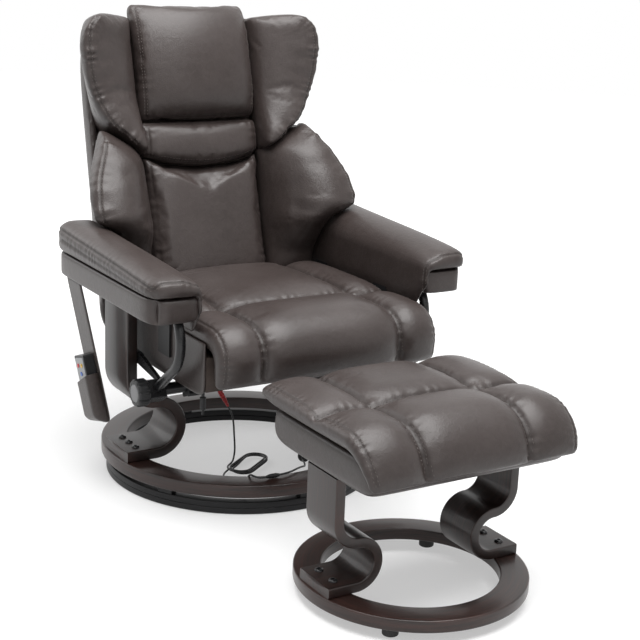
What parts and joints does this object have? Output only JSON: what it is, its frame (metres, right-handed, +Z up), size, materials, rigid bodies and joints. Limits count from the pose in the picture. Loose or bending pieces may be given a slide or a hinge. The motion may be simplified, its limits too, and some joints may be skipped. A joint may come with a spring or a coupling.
{
  "type": "massage recliner with footstool",
  "caption": "Leather swivel recliner with winged headrest, padded arms and bent-wood legs on a ring base, with a corded control box, a handset pouch and a matching footstool.",
  "frame": {"origin": "on the floor under the chair's swivel axis", "axes": "+Z up, the chair faces -Y towards the footstool, +X is the sitter's left"},
  "size_m": [0.754, 1.3041, 1.0143],
  "materials": {
    "leather": "satin dark taupe leather",
    "dark_wood": "espresso stain under a soft gloss lacquer",
    "black_steel": "semi-gloss black paint",
    "bare_steel": "turned steel",
    "plain_ply": "raw plywood",
    "black_plastic": "fine-grained black",
    "grey_plastic": "satin grey",
    "nylon": "natural nylon",
    "red_rubber": "matte dark red",
    "cord_black": "matte black sheath",
    "silver_plastic": "satin silver",
    "red_plastic": "gloss",
    "yellow_plastic": "gloss",
    "blue_plastic": "gloss",
    "black_rubber": "matte"
  },
  "bodies": {
    "floor_base": {"floor_race": "black_steel", "bearing_ring": "nylon"},
    "swivel": {"swivel_race": "black_steel", "ring_spacers": "black_steel", "base_ring": "dark_wood", "left_leg": "dark_wood", "right_leg": "dark_wood", "leg_bolts": "black_steel", "tube_clamps": "black_steel", "cross_frame": "black_steel", "lobed_collar": "black_plastic", "spare_plug": "black_plastic", "control_box": "black_plastic", "cord_boot": "red_rubber", "cord_bundle": "cord_black", "cord_drop": "cord_black", "cord_lead": "cord_black", "cord_tail": "cord_black", "inline_joint": "black_plastic", "power_adapter": "black_plastic"},
    "left_knob_body": {"left_knob": "black_plastic", "left_knob_cap": "grey_plastic"},
    "right_knob_body": {"right_knob": "black_plastic", "right_knob_cap": "grey_plastic"},
    "seat_unit": {"pivot_pins": "bare_steel", "side_tubes": "black_steel", "arm_fittings": "black_steel", "seat_frame": "plain_ply", "seat_side_panels": "leather", "seat_deck": "plain_ply", "seat_motors": "black_plastic", "seat_cushion": "leather", "left_arm_box": "leather", "right_arm_box": "leather", "left_arm_pad": "leather", "right_arm_pad": "leather", "seat_hinge_leaves": "black_steel", "handset_pouch": "leather"},
    "back": {"back_hinge_leaves": "black_steel", "back_board": "plain_ply", "back_shell": "leather", "lumbar_panel": "leather", "neck_band": "leather", "head_pillow": "leather", "left_wing": "leather", "right_wing": "leather", "left_bolster": "leather", "right_bolster": "leather", "back_motors": "black_plastic"},
    "handset_body": {"handset": "black_plastic", "handset_face": "silver_plastic"},
    "power_button_body": {"power_button": "red_plastic"},
    "heat_button_body": {"heat_button": "yellow_plastic"},
    "mode_button_body": {"mode_button": "blue_plastic"},
    "footstool": {"stool_ring": "dark_wood", "stool_feet": "black_rubber", "stool_legs": "dark_wood", "stool_bolts": "black_steel", "stool_box": "leather", "stool_cushion": "leather"}
  },
  "joints": [
    {"name": "swivel_turn", "type": "hinge", "parent": "floor_base", "child": "swivel", "pos_m": [0, 0, 0], "axis": [0, 0, 1], "continuous": true},
    {"name": "seat_tilt", "type": "hinge", "parent": "swivel", "child": "seat_unit", "pos_m": [0, -0.025, 0.47], "axis": [-1, 0, 0], "range_deg": [0, 12]},
    {"name": "back_recline", "type": "hinge", "parent": "seat_unit", "child": "back", "pos_m": [0, 0.165, 0.395], "axis": [-1, 0, 0], "range_deg": [0, 16.2]},
    {"name": "left_knob_turn", "type": "hinge", "parent": "swivel", "child": "left_knob_body", "pos_m": [0.3, -0.1648, 0.26274], "axis": [1, 0, 0], "range_deg": [0, 270]},
    {"name": "right_knob_turn", "type": "hinge", "parent": "swivel", "child": "right_knob_body", "pos_m": [-0.3, -0.1648, 0.26274], "axis": [-1, 0, 0], "range_deg": [0, 270]},
    {"name": "handset_lift", "type": "slide", "parent": "seat_unit", "child": "handset_body", "axis": [-0.1073, 0.2723, 0.9562], "range_m": [0, 0.075]},
    {"name": "power_press", "type": "slide", "parent": "handset_body", "child": "power_button_body", "axis": [0.9938, 0, 0.1115], "range_m": [0, 0.0008], "stiffness_N_per_m": 500, "springref_m": -0.0004},
    {"name": "heat_press", "type": "slide", "parent": "handset_body", "child": "heat_button_body", "axis": [0.9938, 0, 0.1115], "range_m": [0, 0.0008], "stiffness_N_per_m": 500, "springref_m": -0.0004},
    {"name": "mode_press", "type": "slide", "parent": "handset_body", "child": "mode_button_body", "axis": [0.9938, 0, 0.1115], "range_m": [0, 0.0008], "stiffness_N_per_m": 500, "springref_m": -0.0004},
    {"name": "footstool_slide", "type": "slide", "parent": "floor_base", "child": "footstool", "axis": [0, -1, 0], "range_m": [0, 0.3]}
  ],
  "couplings": [
    {"joint": "back_recline", "follows": "seat_tilt", "ratio": 1.3333}
  ]
}
